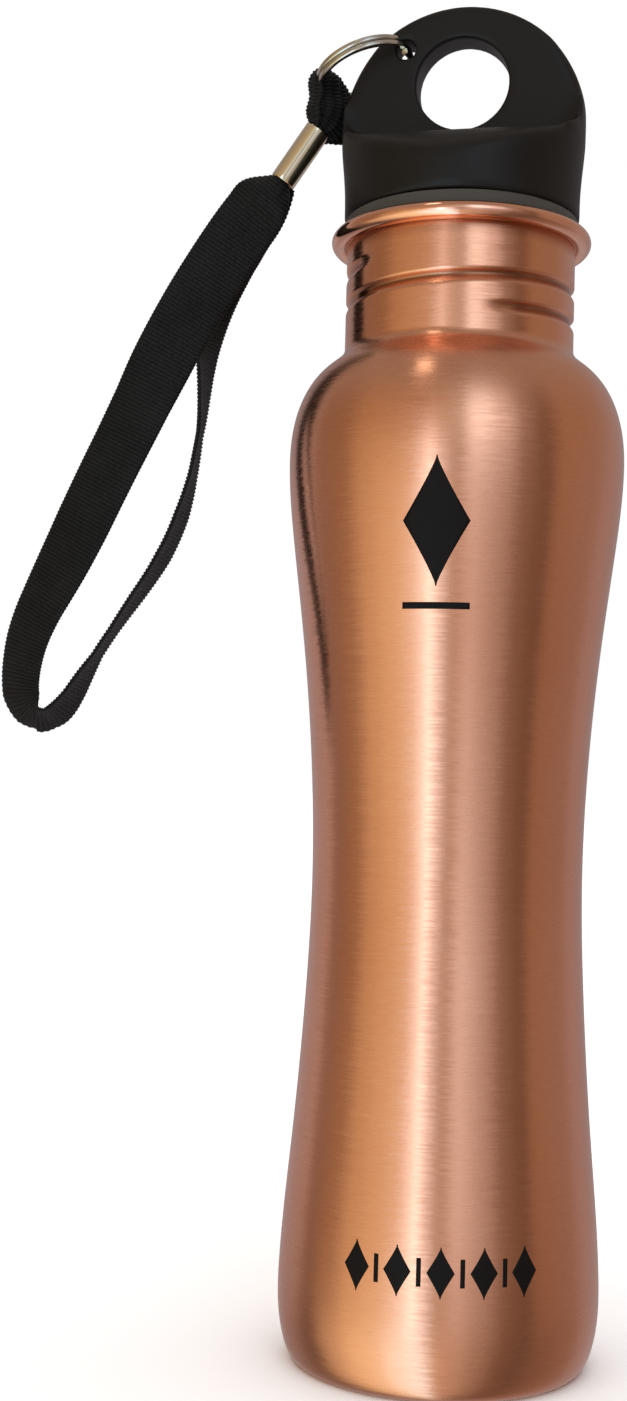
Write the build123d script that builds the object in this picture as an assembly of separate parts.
from build123d import *
import math
import os

# Copper water bottle with a screwed loop cap, a split ring and a webbing wrist strap.
# Millimetres. Origin: centre of the foot on the table, +Z up, front towards -Y.
# The cap's loop is a plate in the XZ plane, and the ring and strap hang on its -X side.

# bottle body, spun from one sheet
WALL = 0.7
FOOT_RADIUS = 28.6          # outer edge of the flat ring that the bottle stands on
FOOT_INNER_RADIUS = 25.9
BASE_RADIUS = 32.8
BASE_HEIGHT = 19.0          # height of the widest line near the base
WAIST_RADIUS = 28.0
WAIST_HEIGHT = 95.0
SHOULDER_RADIUS = 34.95
SHOULDER_HEIGHT = 183.5
NECK_RADIUS = 24.0
NECK_FOOT_HEIGHT = 208.5
LIP_RADIUS = 27.3
LIP_BEAD = 1.8              # radius of the rolled bead's section
RIM_HEIGHT = 233.5

# thread: right-handed, rolled into the neck, outside groove and inside ridge
PITCH = 6.4
THREAD_TURNS = 1.85
THREAD_FOOT_HEIGHT = 213.5
THREAD_FOOT_ANGLE = -73.0
GROOVE_DEPTH = 0.9
RIDGE_INNER_RADIUS = 22.2

# cap
GASKET_HEIGHT = 2.75
GASKET_GAP = 0.05
CAP_FOOT_HEIGHT = RIM_HEIGHT + GASKET_GAP + GASKET_HEIGHT
CAP_FOOT_RADIUS = 24.75
CAP_RADIUS = 25.8
OUTLINE_RADIUS = 25.95      # the loop's arc, a little wider than the cap that it ends in
LOOP_CENTRE_HEIGHT = 256.25
LOOP_HALF_THICKNESS = 3.8
EDGE_RADIUS = 1.4
CREASE_HEIGHT = 254.2       # where the flat faces of the loop end
FACE_HALF_WIDTH = 25.2
CARRY_HOLE_RADIUS = 9.8
CARRY_HOLE_HEIGHT = 265.5
RING_HOLE_RADIUS = 2.1
RING_HOLE_X = -12.2
RING_HOLE_Z = 273.4
PLUG_RADIUS = 21.2
PLUG_WALL = 1.8
PLUG_FOOT_HEIGHT = 220.5
PLUG_SPIGOT = 4.0           # how far the plug reaches up into the cap
FIN_RADIUS = 22.9
FIN_WIDTH = 1.8
FIN_TURNS = 1.25

# split ring
RING_MEAN_RADIUS = 10.15
RING_PITCH = 1.28
RING_TURNS = 1.97
RING_START = 158.0          # degrees from the far side to the wire's first end
RING_WIRE_RADIAL = 1.3
RING_WIRE_AXIAL = 1.2
RING_INSET = 0.37           # from the hole's axis in to the wire's line, which centres the curved wire
RING_SHIFT = 0.48           # along its own axis, so that both coils sit in the middle of the cap's hole
RING_DROP = 19.0            # degrees that the ring hangs below the level
RING_TILT = 5.0             # degrees that its front half stands above its back half

# wrist strap, 13 mm webbing
WEBBING_WIDTH = 13.0
WEBBING_THICKNESS = 1.1
TAB_RADIUS = 4.9
TAB_HOLE_RADIUS = 3.0
TAB_HALF_WIDTH = 3.5
FERRULE_RADIUS = 2.8
FERRULE_WALL = 0.35
FERRULE_TOP = (-31.6, 0.0, 258.2)
FERRULE_FOOT = (-39.2, 0.0, 247.2)
STRAP_ROUTE = [
    (-39.2, -2.4, 247.2),
    (-42.0, -2.4, 243.15),
    (-48.2, -2.8, 235.4),
    (-57.0, -3.6, 220.8),
    (-66.2, -4.0, 203.6),
    (-76.2, -4.0, 182.2),
    (-86.2, -3.5, 162.6),
    (-92.8, -2.7, 149.8),
    (-95.3, -1.8, 140.6),
    (-95.5, -0.8, 133.8),
    (-92.6, 0.3, 130.0),
    (-88.6, 1.4, 130.2),
    (-85.2, 2.2, 134.0),
    (-81.2, 3.0, 142.0),
    (-72.2, 4.0, 155.0),
    (-64.8, 4.6, 167.2),
    (-59.4, 4.6, 180.4),
    (-57.5, 4.4, 192.6),
    (-57.1, 4.0, 205.0),
    (-56.2, 3.6, 216.0),
    (-54.0, 3.2, 227.0),
    (-50.0, 2.6, 235.8),
    (-42.0, 2.4, 243.15),
    (-39.2, 2.4, 247.2),
]
ARC_SHARE = 0.45            # share of the shorter run that a tangent arc may use


def helix_solid(radius, turns, foot_height, foot_angle, corners):
    """A ridge along a right-handed helix; corners are (radius, height) offsets of its section."""
    path = Helix(PITCH, PITCH * turns, radius)
    section = Plane(path @ 0, x_dir=(1, 0, 0), z_dir=path % 0) * make_face(Polyline(*corners, close=True))
    solid = sweep(sections=section, path=path, is_frenet=True)
    return Pos(0, 0, foot_height) * Rot(0, 0, foot_angle) * solid


def body_blank():
    """The spun body without its thread: foot, swelling base, waist, shoulder, neck and rolled lip."""
    bead_x = LIP_RADIUS - LIP_BEAD
    bead_z = RIM_HEIGHT - LIP_BEAD
    inner_neck = NECK_RADIUS - WALL
    foot_corner = (31.6, 4.0)
    neck_foot = (NECK_RADIUS, NECK_FOOT_HEIGHT)
    outer_points = [
        foot_corner,
        (BASE_RADIUS, BASE_HEIGHT),
        (30.72, 46.0),
        (28.71, 75.0),
        (WAIST_RADIUS, WAIST_HEIGHT),
        (28.94, 125.0),
        (31.34, 150.0),
        (33.63, 168.0),
        (SHOULDER_RADIUS, SHOULDER_HEIGHT),
    ]
    waist_curve = Spline(*outer_points, tangents=[(0.35, 1.0), (0.02, 1.0)])
    shoulder_curve = Spline(
        waist_curve @ 1, (34.2, 192.6), (31.4, 200.0), (27.4, 204.6), neck_foot,
        tangents=[waist_curve % 1, (-0.15, 1.0)],
    )
    foot_curve = Spline((FOOT_RADIUS, 0.0), foot_corner, tangents=[(1.0, 0.12), (0.35, 1.0)])
    under_bead = (NECK_RADIUS, bead_z - 1.0)
    bead = ThreePointArc(under_bead, (LIP_RADIUS, bead_z), (bead_x, RIM_HEIGHT))
    outline = [
        Line((FOOT_INNER_RADIUS, 0.0), (FOOT_RADIUS, 0.0)),
        foot_curve,
        waist_curve,
        shoulder_curve,
        Line(neck_foot, under_bead),
        bead,
        Line((bead_x, RIM_HEIGHT), (inner_neck + 0.5, RIM_HEIGHT)),
        Line((inner_neck + 0.5, RIM_HEIGHT), (inner_neck, RIM_HEIGHT - 0.5)),
        Line((inner_neck, RIM_HEIGHT - 0.5), (inner_neck, NECK_FOOT_HEIGHT)),
        Spline(
            (inner_neck, NECK_FOOT_HEIGHT), (26.9, 204.0), (30.8, 199.5), (33.5, 192.3),
            (SHOULDER_RADIUS - WALL, SHOULDER_HEIGHT),
            tangents=[(0.15, -1.0), (-0.02, -1.0)],
        ),
        Spline(
            (SHOULDER_RADIUS - WALL, SHOULDER_HEIGHT), (32.93, 168.0), (30.64, 150.0), (28.24, 125.0),
            (WAIST_RADIUS - WALL, WAIST_HEIGHT), (28.01, 75.0), (30.02, 46.0),
            (BASE_RADIUS - WALL, BASE_HEIGHT), (31.0, 4.4), (FOOT_RADIUS - 0.3, WALL),
            tangents=[(-0.02, -1.0), (-1.0, -0.1)],
        ),
        Line((FOOT_RADIUS - 0.3, WALL), (FOOT_INNER_RADIUS, WALL)),
        Line((FOOT_INNER_RADIUS, WALL), (FOOT_INNER_RADIUS, 0.0)),
    ]
    return revolve(Plane.XZ * make_face(outline), Axis.Z)


def bottle_body():
    """The body with the thread rolled into its neck."""
    mid_wall = NECK_RADIUS - WALL / 2
    ridge_depth = mid_wall - RIDGE_INNER_RADIUS
    ridge = helix_solid(
        mid_wall, THREAD_TURNS, THREAD_FOOT_HEIGHT, THREAD_FOOT_ANGLE,
        [(0, -2.2), (-ridge_depth, -1.1), (-ridge_depth, 1.1), (0, 2.2)],
    )
    groove = helix_solid(
        NECK_RADIUS, THREAD_TURNS, THREAD_FOOT_HEIGHT, THREAD_FOOT_ANGLE,
        [(0.8, -2.3), (-GROOVE_DEPTH, -0.5), (-GROOVE_DEPTH, 0.5), (0.8, 1.3)],
    )
    return body_blank() + ridge - groove


def base_disc():
    """The flat disc brazed into the foot, set up from the table, with a turned-down flange."""
    outer = FOOT_INNER_RADIUS
    disc_height = 2.2
    section = Polyline(
        (0, disc_height), (outer - WALL, disc_height), (outer - WALL, 0.3), (outer, 0.3),
        (outer, disc_height + WALL), (0, disc_height + WALL), close=True,
    )
    return revolve(Plane.XZ * make_face(section), Axis.Z)


def cap_gasket():
    """The flat silicone washer between the lip and the cap."""
    ring = Cylinder(24.4, GASKET_HEIGHT, align=(Align.CENTER, Align.CENTER, Align.MIN))
    ring -= Cylinder(PLUG_RADIUS + 0.3, GASKET_HEIGHT, align=(Align.CENTER, Align.CENTER, Align.MIN))
    ring = fillet(ring.edges().filter_by(GeomType.CIRCLE).sort_by(SortBy.RADIUS)[-2:], 0.4)
    return Pos(0, 0, RIM_HEIGHT + GASKET_GAP) * ring


def cap_blank():
    """The turned outside of the cap before the loop is cut out of it."""
    skirt = Spline(
        (CAP_FOOT_RADIUS, CAP_FOOT_HEIGHT + 0.6), (24.85, 242.5), (25.5, 250.0),
        (CAP_RADIUS, LOOP_CENTRE_HEIGHT), tangents=[(0, 1), (0, 1)],
    )
    top = LOOP_CENTRE_HEIGHT + OUTLINE_RADIUS + 1.0
    outline = [
        Line((0, CAP_FOOT_HEIGHT), (CAP_FOOT_RADIUS - 0.6, CAP_FOOT_HEIGHT)),
        RadiusArc((CAP_FOOT_RADIUS - 0.6, CAP_FOOT_HEIGHT), (CAP_FOOT_RADIUS, CAP_FOOT_HEIGHT + 0.6), -0.6),
        skirt,
        Line((CAP_RADIUS, LOOP_CENTRE_HEIGHT), (CAP_RADIUS, top)),
        Line((CAP_RADIUS, top), (0, top)),
        Line((0, top), (0, CAP_FOOT_HEIGHT)),
    ]
    return revolve(Plane.XZ * make_face(outline), Axis.Z)


def face_cutter():
    """What is cut away in front of the loop: a flat face above a rounded shoulder."""
    reach = CAP_RADIUS + 3.0
    top = LOOP_CENTRE_HEIGHT + CAP_RADIUS + 5.0
    outline = [
        ThreePointArc((LOOP_HALF_THICKNESS, CREASE_HEIGHT), (16.5, 250.9), (reach, 241.6)),
        Line((reach, 241.6), (reach, top)),
        Line((reach, top), (LOOP_HALF_THICKNESS, top)),
        Line((LOOP_HALF_THICKNESS, top), (LOOP_HALF_THICKNESS, CREASE_HEIGHT)),
    ]
    cutter = extrude(Plane.YZ * make_face(outline), FACE_HALF_WIDTH, both=True)
    shoulder_corners = [
        edge for edge in cutter.edges()
        if abs(abs(edge.center().X) - FACE_HALF_WIDTH) < 0.01 and edge.center().Z < CREASE_HEIGHT
        and edge.length > 20 and edge.length < 30
    ]
    return fillet(shoulder_corners, 5.0)


def edge_rounding():
    """What rounds the loop's outer edge, from one end of its flat face to the other."""
    start = math.degrees(math.acos(FACE_HALF_WIDTH / OUTLINE_RADIUS))
    centre = (OUTLINE_RADIUS - EDGE_RADIUS, LOOP_HALF_THICKNESS - EDGE_RADIUS)
    corner = Pos(*centre) * Rectangle(2 * EDGE_RADIUS, 2 * EDGE_RADIUS, align=(Align.MIN, Align.MIN))
    section = corner - Pos(*centre) * Circle(EDGE_RADIUS)
    ring = revolve(section, Axis.Y, revolution_arc=180 - 2 * start)
    return Pos(0, 0, LOOP_CENTRE_HEIGHT) * Rot(0, start - 180, 0) * ring


def cap_loop():
    """The moulded cap: a waisted skirt that rises into a flat plate with a finger hole."""
    plate_outline = (
        Pos(0, LOOP_CENTRE_HEIGHT) * Circle(OUTLINE_RADIUS)
        + Pos(0, LOOP_CENTRE_HEIGHT - 20) * Rectangle(60, 40)
    )
    cap = cap_blank() & extrude(Plane.XZ * plate_outline, 40, both=True)
    cutter = face_cutter()
    cap -= cutter
    cap -= cutter.mirror(Plane.XZ)
    rounding = edge_rounding()
    cap -= rounding
    cap -= rounding.mirror(Plane.XZ)
    carry_hole = Pos(0, 0, CARRY_HOLE_HEIGHT) * Rot(90, 0, 0) * Cylinder(CARRY_HOLE_RADIUS, 40)
    cap -= carry_hole
    hole_edges = [
        edge for edge in cap.edges().filter_by(GeomType.CIRCLE)
        if abs(edge.radius - CARRY_HOLE_RADIUS) < 0.01 and edge.length > 50
    ]
    cap = fillet(hole_edges, 0.7)
    cap -= Pos(RING_HOLE_X, 0, RING_HOLE_Z) * Rot(90, 0, 0) * Cylinder(RING_HOLE_RADIUS, 40)
    ring_hole_edges = [
        edge for edge in cap.edges().filter_by(GeomType.CIRCLE)
        if abs(edge.radius - RING_HOLE_RADIUS) < 0.01 and edge.length > 12
    ]
    cap = fillet(ring_hole_edges, 0.35)
    socket = Cylinder(PLUG_RADIUS, PLUG_SPIGOT, align=(Align.CENTER, Align.CENTER, Align.MIN))
    hollow = Cylinder(17.0, 11.0, align=(Align.CENTER, Align.CENTER, Align.MIN))
    return cap - Pos(0, 0, CAP_FOOT_HEIGHT) * socket - Pos(0, 0, CAP_FOOT_HEIGHT) * hollow


def cap_plug():
    """The threaded plug welded into the cap: a closed cup with a fin that runs in the neck's thread."""
    height = CAP_FOOT_HEIGHT + PLUG_SPIGOT - PLUG_FOOT_HEIGHT
    cup = Cylinder(PLUG_RADIUS, height, align=(Align.CENTER, Align.CENTER, Align.MIN))
    cup = chamfer(cup.edges().sort_by(Axis.Z)[0], 0.8)
    hollow = Cylinder(PLUG_RADIUS - PLUG_WALL, height, align=(Align.CENTER, Align.CENTER, Align.MIN))
    cup = Pos(0, 0, PLUG_FOOT_HEIGHT) * (cup - Pos(0, 0, PLUG_WALL) * hollow)
    core = PLUG_RADIUS - 0.5
    fin_depth = FIN_RADIUS - core
    half = FIN_WIDTH / 2
    quarter_turns = (THREAD_FOOT_ANGLE + 90.0) / 360.0
    fin_foot = THREAD_FOOT_HEIGHT + PITCH * (1.5 - quarter_turns)
    fin = helix_solid(
        core, FIN_TURNS, fin_foot, -90.0,
        [(0, -half - 0.4), (fin_depth, -half + 0.3), (fin_depth, half - 0.3), (0, half + 0.4)],
    )
    return cup + fin


def ring_frame():
    """The split ring's own plane: origin at its centre, X from the cap's hole to the far side."""
    drop = math.radians(RING_DROP)
    tilt = math.radians(RING_TILT)
    outward = Vector(-math.cos(drop), 0, -math.sin(drop))
    upward = Vector(-math.sin(drop), 0, math.cos(drop))
    across = Vector(0, -1, 0) * math.cos(tilt) + upward * math.sin(tilt)
    centre = Vector(RING_HOLE_X, 0, RING_HOLE_Z) + outward * (RING_MEAN_RADIUS - RING_INSET)
    return Plane(origin=centre, x_dir=outward, z_dir=outward.cross(across))


def split_ring():
    """A key ring of two flat coils that lie against each other."""
    path = Helix(RING_PITCH, RING_PITCH * RING_TURNS, RING_MEAN_RADIUS)
    wire = Plane(path @ 0, x_dir=(1, 0, 0), z_dir=path % 0) * RectangleRounded(
        RING_WIRE_RADIAL, RING_WIRE_AXIAL, 0.4
    )
    coil = sweep(sections=wire, path=path, is_frenet=True)
    half_height = RING_PITCH * RING_TURNS / 2
    return ring_frame().location * Rot(0, 0, RING_START) * Pos(0, 0, RING_SHIFT - half_height) * coil


def ring_far_side():
    """The point of the ring that carries the strap."""
    frame = ring_frame()
    return frame.origin + frame.x_dir * RING_MEAN_RADIUS


def ring_tab():
    """The small webbing loop on the ring, drawn together into the ferrule."""
    eye = ring_far_side()
    along = (Vector(*FERRULE_FOOT) - Vector(*FERRULE_TOP)).normalized()
    side = Vector(-along.Z, 0, along.X)
    top = Vector(*FERRULE_TOP)
    mouth = FERRULE_RADIUS - FERRULE_WALL
    waist = [
        (point.X, point.Z)
        for point in (
            top + side * mouth, top - side * mouth,
            eye - side * (TAB_RADIUS - 0.9) - along * 0.5, eye + side * (TAB_RADIUS - 0.9) - along * 0.5,
        )
    ]
    outline = make_face(Polyline(*waist, close=True)) + Pos(eye.X, eye.Z) * Circle(TAB_RADIUS)
    outline -= Pos(eye.X, eye.Z) * Circle(TAB_HOLE_RADIUS)
    tab = extrude(Plane.XZ * outline, TAB_HALF_WIDTH, both=True)
    below_mouth = Plane(origin=top, z_dir=along).location * Box(
        30, 30, 12, align=(Align.CENTER, Align.CENTER, Align.MIN)
    )
    return tab - below_mouth


def ferrule():
    """The pressed metal tube that holds the webbing together."""
    top = Vector(*FERRULE_TOP)
    run = Vector(*FERRULE_FOOT) - top
    tube = Cylinder(FERRULE_RADIUS, run.length, align=(Align.CENTER, Align.CENTER, Align.MIN))
    tube -= Cylinder(FERRULE_RADIUS - FERRULE_WALL, run.length, align=(Align.CENTER, Align.CENTER, Align.MIN))
    return Plane(origin=top, z_dir=run.normalized()).location * tube


def strap_path():
    """Straight runs joined by tangent arcs, as large as the runs allow."""
    points = [Vector(*point) for point in STRAP_ROUTE]
    radii = []
    for before, here, after in zip(points, points[1:], points[2:]):
        turn = math.radians((here - before).get_angle(after - here))
        shorter = min((here - before).length, (after - here).length)
        radii.append(ARC_SHARE * shorter / math.tan(turn / 2))
    return FilletPolyline(*points, radius=radii), radii


def wrist_strap():
    """The loop of webbing, as a round tube with the webbing's section area."""
    path, radii = strap_path()
    tube_radius = math.sqrt(WEBBING_WIDTH * WEBBING_THICKNESS / math.pi)
    tube = sweep(sections=Plane(path @ 0, z_dir=path % 0) * Circle(tube_radius), path=path)
    expected = math.pi * tube_radius**2 * path.length
    print("strap length", round(path.length, 1), "volume ratio", round(tube.volume / expected, 4))
    print("strap radii", [round(radius, 1) for radius in radii])
    return tube


PIECES = {
    "bottle_body": bottle_body,
    "base_disc": base_disc,
    "cap_gasket": cap_gasket,
    "cap_loop": cap_loop,
    "cap_plug": cap_plug,
    "split_ring": split_ring,
    "ring_tab": ring_tab,
    "ferrule": ferrule,
    "wrist_strap": wrist_strap,
}

os.makedirs("parts", exist_ok=True)
for name, make_piece in PIECES.items():
    piece = make_piece()
    export_step(piece, f"parts/{name}.step")
print("ring far side", ring_far_side())
